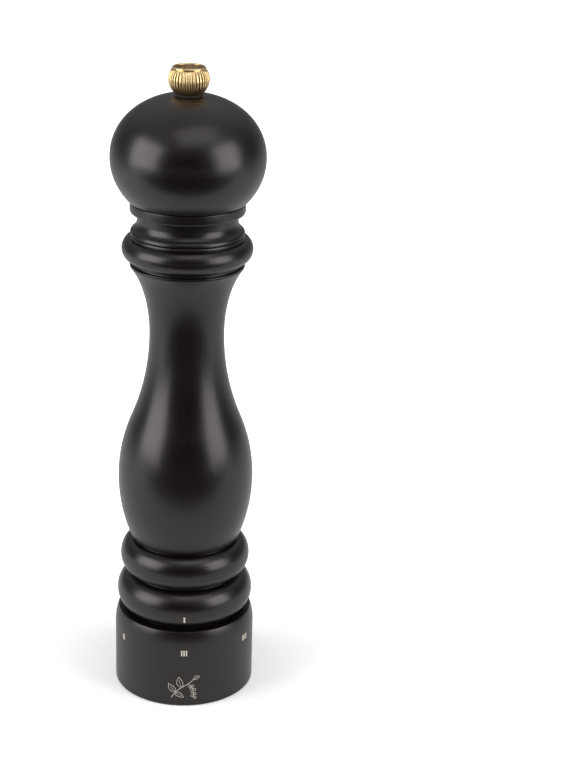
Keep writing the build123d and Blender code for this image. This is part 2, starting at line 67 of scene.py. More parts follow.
def ringSide(ring, lowZ, highZ, steps=26):
    # the rounded side of a turned ring between two heights
    r, z, halfR, halfZ = ring
    low = math.degrees(math.asin((lowZ - z) / halfZ))
    high = math.degrees(math.asin((highZ - z) / halfZ))
    return swing((r, z), (halfR, halfZ), low, high, steps)


def uprightArc(peak, radius, endZ, steps=18):
    # an arc that stands upright at its peak, low end first; a negative radius hollows it
    points = []
    for i in range(steps + 1):
        z = peak[1] + (endZ - peak[1]) * i / steps
        side = math.copysign(math.sqrt(radius ** 2 - (z - peak[1]) ** 2), radius)
        points.append((peak[0] - radius + side, z))
    return points if endZ > peak[1] else points[::-1]


def easeCorners(outline, radius, minTurnDeg=18):
    # takes the edge off every corner, as sanding and lacquer do
    eased = []
    count = len(outline)
    for i in range(count):
        here = Vector(outline[i])
        before = Vector(outline[i - 1]) - here
        after = Vector(outline[(i + 1) % count]) - here
        if before.length < 1e-6 or after.length < 1e-6:
            continue
        turnDeg = 180 - math.degrees(before.angle(after))
        onAxis = here.x < 1e-6
        if turnDeg < minTurnDeg or onAxis:
            eased.append(tuple(here))
            continue
        start = here + before.normalized() * min(radius, before.length * 0.45)
        end = here + after.normalized() * min(radius, after.length * 0.45)
        for t in (0, 0.25, 0.5, 0.75, 1):
            point = start * (1 - t) ** 2 + here * 2 * t * (1 - t) + end * t ** 2
            eased.append(tuple(point))
    return eased


def turnedBmesh(outline, steps=160):
    # outline in mm as (radius, height), spun round the mill's axis
    bm = bmesh.new()
    verts = [bm.verts.new((r * mm, 0, z * mm)) for r, z in outline]
    edges = [bm.edges.new(pair) for pair in zip(verts, verts[1:] + verts[:1])]
    bmesh.ops.spin(bm, geom=verts + edges, cent=(0, 0, 0), axis=(0, 0, 1),
                   angle=math.tau, steps=steps, use_merge=True)
    bmesh.ops.remove_doubles(bm, verts=bm.verts, dist=1e-7)
    bmesh.ops.recalc_face_normals(bm, faces=bm.faces)
    return bm


def newMaterial(name):
    material = bpy.data.materials.new(name)
    material.use_nodes = True
    tree = material.node_tree
    return material, tree, tree.nodes["Principled BSDF"]


def addNode(tree, kind, **settings):
    # a node with its sockets and options set by name
    node = tree.nodes.new("ShaderNode" + kind)
    for key, value in settings.items():
        socket = key.replace("_", " ")
        if socket in node.inputs:
            node.inputs[socket].default_value = value
        else:
            setattr(node, key, value)
    return node


def link(tree, source, target):
    tree.links.new(source, target)


def stretchedNoise(tree, stretch, scale, detail=4.0, roughness=0.55, turn=(0, 0, 0)):
    # noise on Object coordinates, drawn out along an axis by its stretch
    place = addNode(tree, "TexCoord")
    mapping = addNode(tree, "Mapping", Scale=stretch, Rotation=turn)
    noise = addNode(tree, "TexNoise", Scale=scale, Detail=detail, Roughness=roughness)
    link(tree, place.outputs["Object"], mapping.inputs["Vector"])
    link(tree, mapping.outputs["Vector"], noise.inputs["Vector"])
    return noise.outputs["Fac"]


def remap(tree, value, fromLow, fromHigh, toLow, toHigh):
    node = addNode(tree, "MapRange")
    for key, number in (("From Min", fromLow), ("From Max", fromHigh),
                        ("To Min", toLow), ("To Max", toHigh)):
        node.inputs[key].default_value = number
    link(tree, value, node.inputs["Value"])
    return node.outputs["Result"]


def mixColours(tree, amount, first, second):
    # first and second are colours or colour outputs
    node = addNode(tree, "Mix", data_type="RGBA")
    link(tree, amount, node.inputs["Factor"])
    for socket, colour in ((node.inputs[6], first), (node.inputs[7], second)):
        if isinstance(colour, tuple):
            socket.default_value = (*colour, 1)
        else:
            link(tree, colour, socket)
    return node.outputs[2]


def addTogether(tree, first, second):
    node = addNode(tree, "Math", operation="ADD")
    link(tree, first, node.inputs[0])
    link(tree, second, node.inputs[1])
    return node.outputs[0]


def addBump(tree, shader, height, strength, distance, under=None):
    bump = addNode(tree, "Bump", Strength=strength, Distance=distance)
    link(tree, height, bump.inputs["Height"])
    if under is not None:
        link(tree, under, bump.inputs["Normal"])
    link(tree, bump.outputs["Normal"], shader.inputs["Normal"])
    return bump.outputs["Normal"]


darkWood = dict(
    paleStain=(0.0052, 0.0022, 0.0020),   # where the stain took least
    deepStain=(0.0024, 0.0011, 0.0010),
    poreStain=(0.0009, 0.0007, 0.0006),   # short dark pores along the grain
    sheenRough=0.30,
    ringScale=125,                        # growth rings about 2.5 mm apart
)


def makeDarkWood(name, rough, pithX, pithY):
    material, tree, shader = newMaterial(name)
    place = addNode(tree, "TexCoord")
    pith = addNode(tree, "Mapping", Location=(pithX, pithY, 0), Rotation=(0.05, 0.035, 0),
                   Scale=(1, 1, 0.25))
    rings = addNode(tree, "TexWave", wave_type="RINGS", rings_direction="Z",
                    Scale=darkWood["ringScale"], Distortion=3.5, Detail=2)
    rings.inputs["Detail Scale"].default_value = 1.2
    link(tree, place.outputs["Object"], pith.inputs["Vector"])
    link(tree, pith.outputs["Vector"], rings.inputs["Vector"])
    fibre = stretchedNoise(tree, (1, 1, 0.05), 1400, 6, 0.6)
    pores = stretchedNoise(tree, (1, 1, 0.16), 2600, 2, 0.5)
    cloud = stretchedNoise(tree, (1, 1, 0.5), 60, 3, 0.5)
    tone = mixColours(tree, fibre, darkWood["deepStain"], darkWood["paleStain"])
    ringed = mixColours(tree, remap(tree, rings.outputs["Fac"], 0, 1, 0.0, 0.55), tone,
                        darkWood["deepStain"])
    colour = mixColours(tree, remap(tree, pores, 0.60, 0.72, 0, 1), ringed, darkWood["poreStain"])
    link(tree, colour, shader.inputs["Base Color"])
    gloss = addTogether(tree, remap(tree, fibre, 0.3, 0.7, rough - 0.025, rough + 0.03),
                        remap(tree, cloud, 0.3, 0.7, -0.015, 0.02))
    link(tree, gloss, shader.inputs["Roughness"])
    shader.inputs["Specular Tint"].default_value = (1.0, 0.94, 0.93, 1)
    low = addBump(tree, shader, fibre, 0.08, 0.00004)
    addBump(tree, shader, remap(tree, pores, 0.60, 0.72, 1, 0), 0.10, 0.00003, low)
    return material


bodyWood = makeDarkWood("stained wood, body", darkWood["sheenRough"], 0.041, 0.013)
headWood = makeDarkWood("stained wood, head", darkWood["sheenRough"], -0.035, 0.030)
baseWood = makeDarkWood("stained wood, base ring", darkWood["sheenRough"] + 0.03, 0.028, -0.036)
print("wood ready")


body = dict(
    footZ=39.3, lowRing=(24.65, 48.0, 7.5, 9.3), midRing=(24.15, 66.3, 6.45, 8.5),
    bellyFoot=(25.3, 75.5), belly=(31.6, 106.2), neck=(17.2, 177.2), bellyShare=0.41,
    flare=(26.1, 209.4), flareHalfR=19.45, flareRimZ=210.5,
    topRing=(24.0, 217.7, 5.8, 5.85), bead=(24.75, 223.3, 1.1, 1.3),
    swell=(25.95, 224.9), swellRound=2.2, collarNeck=(22.85, 230.9),
    topZ=239.4, ease=0.22,
    lowRingTopZ=57.2, midRingEnds=(57.95, 74.6), topRingEnds=(213.6, 222.6), beadEnds=(222.7, 224.3),
    # each groove: its radius, low and high ends
    ringGroove=(25.2, 57.35, 57.9), bellyGroove=(24.3, 74.7, 75.4), rimGroove=(24.9, 210.8, 213.4),
    beadGroove=(24.8, 224.4, 224.7), lip=((25.8, 234.7), (26.1, 235.4), (26.1, 239.0)), lipInR=25.7,
    collarUnder=((22.85, 234.1), (25.1, 234.4)), socketR=15.5, socketZ=231.3, boreR=12.5, boreZ=150.0,
    chamberR=17.0, chamberTopZ=138.0, chamberFootZ=54.2, sleeveR=21.5,
)


def groove(place):
    r, lowZ, highZ = place
    return [(r, lowZ), (r, highZ)]


def bodyOutline():
    b = body
    drop, climb = b["belly"][0] - b["neck"][0], b["neck"][1] - b["belly"][1]
    bothRadii = (drop ** 2 + climb ** 2) / (2 * drop)
    meetZ = b["belly"][1] + b["bellyShare"] * climb
    footDrop, footClimb = b["belly"][0] - b["bellyFoot"][0], b["belly"][1] - b["bellyFoot"][1]
    lowRadius = (footDrop ** 2 + footClimb ** 2) / (2 * footDrop)
    reach = (b["neck"][0] + b["flareHalfR"] - b["flare"][0]) / b["flareHalfR"]
    flareHalfZ = (b["flare"][1] - b["neck"][1]) / math.sqrt(1 - reach ** 2)
    outside = ringSide(b["lowRing"], b["footZ"], b["lowRingTopZ"]) + groove(b["ringGroove"])
    outside += ringSide(b["midRing"], *b["midRingEnds"]) + groove(b["bellyGroove"])
    outside += uprightArc(b["belly"], lowRadius, b["bellyFoot"][1], 22)
    outside += uprightArc(b["belly"], b["bellyShare"] * bothRadii, meetZ)[1:]
    outside += uprightArc(b["neck"], -(1 - b["bellyShare"]) * bothRadii, meetZ, 22)[1:]
    outside += swing((b["neck"][0] + b["flareHalfR"], b["neck"][1]), (b["flareHalfR"], flareHalfZ),
                     180, 180 - math.degrees(math.acos(reach)), 24)[1:]
    outside += [(b["flare"][0], b["flareRimZ"])] + groove(b["rimGroove"])
    outside += ringSide(b["topRing"], *b["topRingEnds"])
    outside += ringSide(b["bead"], *b["beadEnds"], 12) + groove(b["beadGroove"])
    fall, rise = b["swell"][0] - b["collarNeck"][0], b["collarNeck"][1] - b["swell"][1]
    bothSwells = (fall ** 2 + rise ** 2) / (2 * fall)         # swelling and hollow under the collar
    joinZ = b["swell"][1] + b["swellRound"] * rise / bothSwells
    outside += uprightArc(b["swell"], b["swellRound"], joinZ, 12)
    outside += uprightArc(b["collarNeck"], b["swellRound"] - bothSwells, joinZ, 12)[1:]
    outside += [*b["collarUnder"], *b["lip"], (b["lipInR"], b["topZ"])]
    inside = [(b["socketR"], b["topZ"]), (b["socketR"], b["socketZ"]), (b["boreR"], b["socketZ"]),
              (b["boreR"], b["boreZ"]), (b["chamberR"], b["chamberTopZ"]),
              (b["chamberR"], b["chamberFootZ"]), (b["sleeveR"], b["chamberFootZ"]),
              (b["sleeveR"], b["footZ"])]
    return outside + inside


def makeBody():
    bm = turnedBmesh(easeCorners(bodyOutline(), body["ease"]))
    piece = finishMesh(bm, "millBody", bodyWood)
    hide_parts("mill_body")
    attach(piece, "mill")


makeBody()
print("body turned")


head = dict(
    ballR=34.9, equatorZ=259.4, upHeight=28.65, lowHeight=30.25, upPower=2.08, lowPower=2.015,
    footZ=239.7, seatZ=287.2, seatR=6.6, shaftR=3.3, spigotR=15.2, spigotZ=233.3,
    squareR=4.7, squareZ=247.0, ease=0.3,
)


def domeSide(height, power, cut, steps=26):
    # from the equator to a cut height, rounder or squarer by its power
    end = math.asin((cut / height) ** (power / 2))
    points = []
    for i in range(steps + 1):
        a = end * i / steps
        points.append((head["ballR"] * math.cos(a) ** (2 / power),
                       height * math.sin(a) ** (2 / power)))
    return points


def makeHead():
    h = head
    low = domeSide(h["lowHeight"], h["lowPower"], h["equatorZ"] - h["footZ"])
    high = domeSide(h["upHeight"], h["upPower"], h["seatZ"] - h["equatorZ"], 34)
    outline = [(r, h["equatorZ"] - z) for r, z in reversed(low)]
    outline += [(r, h["equatorZ"] + z) for r, z in high[1:]]
    outline += [(h["seatR"], h["seatZ"]), (h["shaftR"], h["seatZ"]), (h["shaftR"], h["squareZ"]),
                (h["squareR"], h["squareZ"]), (h["squareR"], h["spigotZ"]),
                (h["spigotR"], h["spigotZ"]), (h["spigotR"], h["footZ"])]
    piece = finishMesh(turnedBmesh(easeCorners(outline, h["ease"])), "headBall", headWood)
    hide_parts("head")
    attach(piece, "head")


makeHead()
print("head turned")


base = dict(
    sideR=33.2, topZ=38.8, footEdge=1.2, shoulderZ=30.7, shoulderR=6.26, shoulderH=12.0, ease=0.25,
    recessR=27.1, recessZ=35.8, throatR=22.6, throatZ=18.0, linerR=24.9, linerZ=6.0, openR=29.8,
)


def makeBase():
    b = base
    top = math.degrees(math.asin((b["topZ"] - b["shoulderZ"]) / b["shoulderH"]))
    outline = swing((b["sideR"] - b["footEdge"], b["footEdge"]), (b["footEdge"],) * 2, -90, 0, 8)
    outline += swing((b["sideR"] - b["shoulderR"], b["shoulderZ"]),
                     (b["shoulderR"], b["shoulderH"]), 0, top, 20)
    outline += [(b["recessR"], b["topZ"]), (b["recessR"], b["recessZ"]), (b["throatR"], b["recessZ"]),
                (b["throatR"], b["throatZ"]), (b["linerR"], b["throatZ"]),
                (b["linerR"], b["linerZ"]), (b["openR"], b["linerZ"]), (b["openR"], 0.0)]
    piece = finishMesh(turnedBmesh(easeCorners(outline, b["ease"])), "baseRing", baseWood)
    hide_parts("base_ring")
    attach(piece, "selector")


makeBase()
print("base ring turned")


ink = dict(
    fresh=(0.60, 0.54, 0.47), worn=(0.30, 0.26, 0.22), proud=0.012, thick=0.05,
    strokeWide=0.62, strokePitch=1.13, strokeTall=2.85, tallyZ=28.5,
    indexWide=0.79, indexZ=(43.7, 46.9), sprigLine=0.19,
)
# degrees round the base ring, from +X
tallies = {150: "I", -150: "II", -90: "III", -30: "IIII", 30: "V", 90: "VI"}


def makeInk():
    material, tree, shader = newMaterial("pad printed ink")
    speck = stretchedNoise(tree, (1, 1, 1), 5200, 3, 0.6)
    colour = mixColours(tree, remap(tree, speck, 0.42, 0.30, 0, 1), ink["fresh"], ink["worn"])
    link(tree, colour, shader.inputs["Base Color"])
    link(tree, remap(tree, speck, 0.3, 0.7, 0.62, 0.45), shader.inputs["Roughness"])
    addBump(tree, shader, speck, 0.12, 0.00002)
    return material


printInk = makeInk()


def ribbon(bm, path, width, closed=False):
    # a flat line of even width along (across, up) points, in mm
    points = [Vector(p) for p in path]
    count = len(points)
    rows = ([], [])
    for i, here in enumerate(points):
        if closed:
            along = points[(i + 1) % count] - points[i - 1]
        else:
            along = points[min(i + 1, count - 1)] - points[max(i - 1, 0)]
        across = Vector((-along.y, along.x)).normalized() * width / 2
        for row, side in zip(rows, (across, -across)):
            row.append(bm.verts.new((here.x + side.x, 0, here.y + side.y)))
    edges = []
    for row in rows:
        ends = row[1:] + row[:1] if closed else row[1:]
        edges += [bm.edges.new(pair) for pair in zip(row, ends)]
    bmesh.ops.bridge_loops(bm, edges=edges)


def wrapAround(bm, sideRadius, centreDeg):
    # bends flat shapes onto the turned side and gives the ink its thickness
    for vert in bm.verts:
        r = sideRadius(vert.co.z) + ink["proud"]
        angle = math.radians(centreDeg) + vert.co.x / r
        vert.co = Vector((r * math.cos(angle), r * math.sin(angle), vert.co.z)) * mm
    bmesh.ops.recalc_face_normals(bm, faces=bm.faces)
    outward = sum(face.normal.dot(face.calc_center_median() * Vector((1, 1, 0)))
                  for face in bm.faces)
    if outward < 0:
        bmesh.ops.reverse_faces(bm, faces=bm.faces)
    bmesh.ops.solidify(bm, geom=bm.faces[:], thickness=-ink["thick"] * mm)
    bmesh.ops.recalc_face_normals(bm, faces=bm.faces)


def upright(x, lowZ, highZ, lean=0.0, steps=4):
    return [(x + lean * (i / steps - 0.5), lowZ + (highZ - lowZ) * i / steps)
            for i in range(steps + 1)]


def makeTallies():
    low, high = ink["tallyZ"] - ink["strokeTall"] / 2, ink["tallyZ"] + ink["strokeTall"] / 2
    whole = bmesh.new()
    for centreDeg, text in tallies.items():
        bm = bmesh.new()
        wide = sum(2 if letter == "V" else 1 for letter in text)
        x = -(wide - 1) / 2 * ink["strokePitch"]
        for letter in text:
            if letter == "I":
                ribbon(bm, upright(x, low, high), ink["strokeWide"])
                x += ink["strokePitch"]
                continue
            for lean in (-1, 1):                   # the two strokes of a V meet at its foot
                ribbon(bm, upright(x + ink["strokePitch"] * (0.5 + lean * 0.42), low, high,
                                   lean * ink["strokePitch"] * 0.7), ink["strokeWide"] * 0.8)
            x += 2 * ink["strokePitch"]
        wrapAround(bm, lambda z: base["sideR"], centreDeg)
        part = bpy.data.meshes.new("tally")
        bm.to_mesh(part)
        bm.free()
        whole.from_mesh(part)
        bpy.data.meshes.remove(part)
    piece = finishMesh(whole, "grindTallies", printInk)
    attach(piece, "selector")


def lowRingSide(z):
    r, midZ, halfR, halfZ = body["lowRing"]
    return r + halfR * math.sqrt(1 - ((z - midZ) / halfZ) ** 2)


def makeIndexMark():
    bm = bmesh.new()
    ribbon(bm, upright(0, *ink["indexZ"], steps=10), ink["indexWide"])
    wrapAround(bm, lowRingSide, -90)
    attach(finishMesh(bm, "grindIndex", printInk), "mill")


sprig = dict(
    centreZ=9.9, leafBend=0.35, firstBerry=0.24, berryGap=0.12,
    stem=((-6.0, -5.2), (-4.6, -3.0), (-2.6, -0.8), (0.0, 1.0), (2.6, 2.6), (4.6, 4.6)),
    # each leaf: where it leaves the stem, its direction in degrees, length and width
    leaves=((-3.9, -2.1, 128, 5.6, 2.7), (-1.0, 0.35, 104, 5.8, 2.9), (4.6, 4.6, 22, 3.2, 1.9),
            (-4.4, -2.7, -28, 4.8, 2.3)),
    spike=((1.6, 2.0), (3.2, 1.4), (4.3, -0.4), (4.7, -2.8), (4.6, -5.2)),   # the hanging berries
    berryR=0.58, berries=8,
)


def alongPath(path, share):
    # a point on a chain of places, with the direction there
    reach = share * (len(path) - 1)
    i = min(int(reach), len(path) - 2)
    start, end = Vector(path[i]), Vector(path[i + 1])
    return start.lerp(end, reach - i), (end - start).normalized()


def makeSprig():
    s, line = sprig, ink["sprigLine"]
    bm = bmesh.new()
    stem = [tuple(alongPath(s["stem"], i / 20)[0]) for i in range(21)]
    ribbon(bm, stem, line * 1.25)
    for x, z, turnDeg, length, width in s["leaves"]:
        tip = Vector((math.cos(math.radians(turnDeg)), math.sin(math.radians(turnDeg))))
        side = Vector((-tip.y, tip.x))
        edge, rib = [], []
        for i in range(25):
            t = i / 24
            bend = side * s["leafBend"] * math.sin(math.pi * t)
            middle = Vector((x, z)) + tip * length * t + bend
            rib.append(middle)
            edge.append(middle + side * width / 2 * math.sin(math.pi * t ** 0.8))
        back = [2 * m - e for m, e in zip(rib, edge)]
        ribbon(bm, edge, line)
        ribbon(bm, back, line)
        ribbon(bm, rib[:19], line * 0.8)
    ribbon(bm, [tuple(alongPath(s["spike"], i / 16)[0]) for i in range(17)], line * 0.9)
    for i in range(s["berries"]):
        share = s["firstBerry"] + (1 - s["firstBerry"]) * i / (s["berries"] - 1)
        here, along = alongPath(s["spike"], share)
        side = Vector((-along.y, along.x)) * (s["berryR"] + s["berryGap"]) * (1 if i % 2 else -1)
        centre = here + side
        loop = swing(tuple(centre), (s["berryR"],) * 2, 0, 345, 23)
        ribbon(bm, loop, line * 0.9, closed=True)
    for vert in bm.verts:
        vert.co.z += s["centreZ"]
    wrapAround(bm, lambda z: base["sideR"], -90)
    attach(finishMesh(bm, "pepperSprig", printInk), "selector")


makeTallies()
makeIndexMark()
makeSprig()
print("marks printed")


knob = dict(
    footZ=288.0, footR=5.8, waistR=9.15, waistZ=293.9, shoulderR=7.7, shoulderZ=298.7,
    flutes=36, fluteDepth=0.45, stepsPerFlute=12, valleyPower=2.2, fluteFromR=5.7,
    # the rounded rim round the recess, outer side first
    rim=((7.25, 298.85), (7.2, 299.0), (7.5, 299.15), (7.55, 299.45), (7.4, 299.75),
         (7.1, 299.95), (6.8, 300.0), (6.5, 299.9), (6.3, 299.6)),
    recessR=6.3, recessZ=299.0, boreR=2.55, boreZ=297.0, recessDullAndShade=0.4,
    # the darkest colour of each metal is painted shade, laid into the flute valleys, the recess and the
    # badge's field
    brassLight=(0.80, 0.60, 0.32), brassShade=(0.72, 0.52, 0.25), hollowShadeColour=(0.20, 0.12, 0.035),
    bronzeLight=(0.50, 0.34, 0.17), bronzeShade=(0.30, 0.19, 0.09), bronzeHollowShadeColour=(0.07, 0.045, 0.02),
)


def makeBrass(name, light, shade, hollowShadeColour, rough):
    # satin brass, rougher in its valleys and recess, with painted shade darkening them
    material, tree, shader = newMaterial(name)
    shader.inputs["Metallic"].default_value = 1
    cloud = stretchedNoise(tree, (1, 1, 1), 140, 3, 0.5)
    fine = stretchedNoise(tree, (1, 1, 0.3), 1100, 2, 0.5)
    hollow = addNode(tree, "Attribute", attribute_name="hollow")
    worn = mixColours(tree, remap(tree, cloud, 0.35, 0.68, 0, 1), light, shade)
    # painted shade: the colour goes toward the shade colour where the mask marks valleys and recess
    colour = mixColours(tree, remap(tree, hollow.outputs["Fac"], 0.08, 0.9, 0, 0.85), worn, hollowShadeColour)
    link(tree, colour, shader.inputs["Base Color"])
    gloss = addTogether(tree, remap(tree, cloud, 0.3, 0.7, rough - 0.02, rough + 0.04),
                        remap(tree, hollow.outputs["Fac"], 0, 1, 0, 0.16))
    link(tree, gloss, shader.inputs["Roughness"])
    addBump(tree, shader, fine, 0.02, 0.000005)
    return material


brass = makeBrass("satin brass", knob["brassLight"], knob["brassShade"], knob["hollowShadeColour"], 0.27)
bronze = makeBrass("bronze with painted shade", knob["bronzeLight"], knob["bronzeShade"], knob["bronzeHollowShadeColour"], 0.36)


def arcThrough(a, b, c, steps):
    # points on the circle through three places, from a to c
    ax, ay, bx, by, cx, cy = *a, *b, *c
    d = 2 * (ax * (by - cy) + bx * (cy - ay) + cx * (ay - by))
    aa, bb, cc = ax**2 + ay**2, bx**2 + by**2, cx**2 + cy**2
    ux = (aa * (by - cy) + bb * (cy - ay) + cc * (ay - by)) / d
    uy = (aa * (cx - bx) + bb * (ax - cx) + cc * (bx - ax)) / d
    radius = math.hypot(ax - ux, ay - uy)
    start = math.degrees(math.atan2(ay - uy, ax - ux))
    end = math.degrees(math.atan2(cy - uy, cx - ux))
    return swing((ux, uy), (radius, radius), start, end, steps)


def makeKnob():
    k = knob
    side = arcThrough((k["footR"], k["footZ"]), (k["waistR"], k["waistZ"]),
                      (k["shoulderR"], k["shoulderZ"]), 30)
    outline = [*side, *k["rim"], (k["recessR"], k["recessZ"]), (0, k["recessZ"]), (0, k["boreZ"]),
               (k["boreR"], k["boreZ"]), (k["boreR"], k["footZ"])]
    bm = turnedBmesh(outline, k["flutes"] * k["stepsPerFlute"])
    hollow = bm.verts.layers.float.new("hollow")
    # painted shade: the recess floor and the flute valleys are marked to be darkened
    for vert in bm.verts:
        r, z = math.hypot(vert.co.x, vert.co.y) / mm, vert.co.z / mm
        if r < k["fluteFromR"] or z > k["shoulderZ"] + 0.01:
            if r < k["recessR"] + 0.1 and z > k["boreZ"] + 0.5:
                vert[hollow] = k["recessDullAndShade"]
            continue
        angle = math.atan2(vert.co.y, vert.co.x)
        valley = (0.5 + 0.5 * math.cos(angle * k["flutes"])) ** k["valleyPower"]
        fade = min(1, (k["shoulderZ"] + 0.15 - z) / 1.1) * min(1, 0.35 + (z - k["footZ"]) / 2.5)
        depth = k["fluteDepth"] * valley * fade * r / k["waistR"]
        vert.co.x *= (r - depth) / r
        vert.co.y *= (r - depth) / r
        vert[hollow] = valley * fade
    piece = finishMesh(bm, "flutedKnob", brass, 70)
    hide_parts("knob")
    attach(piece, "nut")


badge = dict(
    faceZ=299.58, footZ=299.02, edgeR=6.22, ringTop=299.84, ringFoot=(4.7, 5.35), ringCrest=(4.85, 5.2),
    # each berry: its distance from the axis, degrees round it, size
    berries=((0, 0, 0.85),) + tuple((2.05, 60 * i, 0.62) for i in range(6)), berryTall=0.34,
    petals=6, petalR=3.55, petalSize=(1.05, 0.52, 0.30), ease=0.08,
)


def makeBadge():
    # a plain rosette of berries and leaves inside a raised ring
    b = badge
    outline = [(0, b["footZ"]), (b["edgeR"], b["footZ"]), (b["edgeR"], b["faceZ"]),
               (b["ringFoot"][1], b["faceZ"]), (b["ringCrest"][1], b["ringTop"]),
               (b["ringCrest"][0], b["ringTop"]), (b["ringFoot"][0], b["faceZ"]), (0, b["faceZ"])]
    bm = turnedBmesh(easeCorners(outline, b["ease"]), 96)
    for reach, turnDeg, size in b["berries"]:
        turn = Matrix.Rotation(math.radians(turnDeg), 4, "Z")
        flat = Matrix.Diagonal((size * mm, size * mm, b["berryTall"] * mm, 1))
        place = turn @ Matrix.Translation((reach * mm, 0, b["faceZ"] * mm)) @ flat
        bmesh.ops.create_uvsphere(bm, u_segments=20, v_segments=12, radius=1, matrix=place)
    for i in range(b["petals"]):
        turn = Matrix.Rotation(math.radians(60 * i + 30), 4, "Z")
        flat = Matrix.Diagonal((*(v * mm for v in b["petalSize"]), 1))
        place = turn @ Matrix.Translation((b["petalR"] * mm, 0, b["faceZ"] * mm)) @ flat
        bmesh.ops.create_uvsphere(bm, u_segments=20, v_segments=12, radius=1, matrix=place)
    # painted shade: the flat field is darkened, the raised ring, berries and petals stay light
    hollow = bm.verts.layers.float.new("hollow")
    for vert in bm.verts:
        vert[hollow] = 1 - min(1, max(0, (vert.co.z / mm - b["faceZ"]) / 0.2))
    piece = finishMesh(bm, "knobBadge", bronze, 50)
    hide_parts("knob_badge")
    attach(piece, "nut")


makeKnob()
makeBadge()
print("knob fluted")


def makeMoulded(name, colour, rough, grain=3800, bump=0.10):
    # moulded plastic with a fine spark-eroded skin
    material, tree, shader = newMaterial(name)
    skin = stretchedNoise(tree, (1, 1, 1), grain, 3, 0.6)
    flow = stretchedNoise(tree, (1, 1, 0.4), 90, 3, 0.5)
    lighter = tuple(min(1, c * 1.25 + 0.002) for c in colour)
    link(tree, mixColours(tree, remap(tree, flow, 0.35, 0.65, 0, 1), colour, lighter),
         shader.inputs["Base Color"])
    link(tree, addTogether(tree, remap(tree, skin, 0.3, 0.7, rough - 0.05, rough + 0.06),
                           remap(tree, flow, 0.3, 0.7, -0.04, 0.04)), shader.inputs["Roughness"])
    addBump(tree, shader, skin, bump, 0.00003)
    return material


def makeMetal(name, light, shade, rough, stretch=(1, 1, 1), grain=2600, bump=0.10, turned=0):
    # drawn, rolled or turned metal; turned gives fine rings round the axis
    material, tree, shader = newMaterial(name)
    shader.inputs["Metallic"].default_value = 1
    streaks = stretchedNoise(tree, stretch, grain, 4, 0.6)
    cloud = stretchedNoise(tree, (1, 1, 1), 180, 4, 0.55)
    tone = mixColours(tree, remap(tree, cloud, 0.35, 0.68, 0, 1), light, shade)
    link(tree, mixColours(tree, remap(tree, streaks, 0.35, 0.70, 0, 0.5), tone, shade),
         shader.inputs["Base Color"])
    link(tree, addTogether(tree, remap(tree, streaks, 0.3, 0.7, rough - 0.06, rough + 0.08),
                           remap(tree, cloud, 0.3, 0.7, -0.03, 0.05)), shader.inputs["Roughness"])
    under = addBump(tree, shader, streaks, bump, 0.00002)
    if turned:
        place = addNode(tree, "TexCoord")
        rings = addNode(tree, "TexWave", wave_type="RINGS", rings_direction="Z", Scale=turned,
                        Distortion=0.4, Detail=1)
        link(tree, place.outputs["Object"], rings.inputs["Vector"])
        addBump(tree, shader, rings.outputs["Fac"], 0.18, 0.00002, under)
    return material


finishes = dict(
    blackPlastic=makeMoulded("black moulding", (0.014, 0.014, 0.014), 0.42),
    camPlastic=makeMoulded("dark grey moulding", (0.022, 0.022, 0.023), 0.38),
    acetal=makeMoulded("natural acetal", (0.60, 0.57, 0.50), 0.36, bump=0.05),
    fibre=makeMoulded("vulcanised fibre", (0.012, 0.008, 0.006), 0.75, 6000, 0.25),
    zinc=makeMetal("zinc plated steel", (0.66, 0.67, 0.68), (0.50, 0.49, 0.46), 0.30),
    brushed=makeMetal("brushed steel", (0.58, 0.58, 0.58), (0.42, 0.42, 0.43), 0.30,
                      (0.05, 1, 1), 3200, 0.20),
    washer=makeMetal("turned washer steel", (0.62, 0.62, 0.63), (0.46, 0.46, 0.46), 0.30,
                     turned=3400),
    stamped=makeMetal("stamped steel", (0.62, 0.61, 0.60), (0.45, 0.44, 0.43), 0.34,
                      (1, 0.06, 1), 2400),
    drawn=makeMetal("drawn aluminium bar", (0.77, 0.77, 0.78), (0.62, 0.62, 0.64), 0.28,
                    (1, 1, 0.02), 2600, 0.22),
    blued=makeMetal("blued spring steel", (0.11, 0.12, 0.16), (0.07, 0.065, 0.075), 0.30),
    wire=makeMetal("spring wire", (0.50, 0.49, 0.48), (0.34, 0.33, 0.32), 0.28),
    hard=makeMetal("case hardened steel", (0.25, 0.24, 0.23), (0.12, 0.11, 0.10), 0.38,
                   (1, 1, 0.3), 1500, 0.22),
    sintered=makeMetal("sintered bronze", (0.58, 0.38, 0.20), (0.38, 0.24, 0.12), 0.44, grain=5200,
                       bump=0.3),
)
nodeFinish = dict(
    housing="blackPlastic", guide_spider="blackPlastic", index_ring="blackPlastic",
    cam_ring="camPlastic", guide_bush="acetal", knob_washer="fibre",
    housing_screws="zinc", drive_plate_screws="zinc", cam_ring_screws="zinc", spring_washer="washer",
    drive_plate="brushed", bridge="stamped", detent_spring="stamped", spindle="drawn",
    stator_clip="blued", spindle_clips="blued", base_snap_ring="blued", rotor_spring="wire",
    stator="hard", rotor="hard", bridge_bush="sintered",
)
for node, finish in nodeFinish.items():
    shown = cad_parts[node]
    shown.data.materials.clear()
    shown.data.materials.append(finishes[finish])
print("mechanism finished:", len(nodeFinish), "nodes")


studio = dict(
    floorSize=6.0, floorShade=(0.86, 0.86, 0.86), floorLight=(0.88, 0.88, 0.88),
    # what the camera sees of the floor's glow, and what the lacquer mirrors, near and far out
    glowNear=0.22, glowFar=0.90, mirroredNear=0.06, mirroredFar=0.05, glowFrom=0.045, glowTo=0.22,
    frontGlow=0.008, backGlow=0.24, upGlow=0.55,
    # each lamp: its name, place, the height that it aims at, width, height, watts
    lamps=(("leftBox", (-0.865, -0.341, 0.485), 0.17, 0.81, 0.79, 9.0),
           ("rightBox", (0.82, -0.459, 0.485), 0.17, 0.655, 0.79, 6.9),
           ("topBox", (0.22, -0.50, 1.30), 0.15, 1.1, 0.7, 3.0)),
)


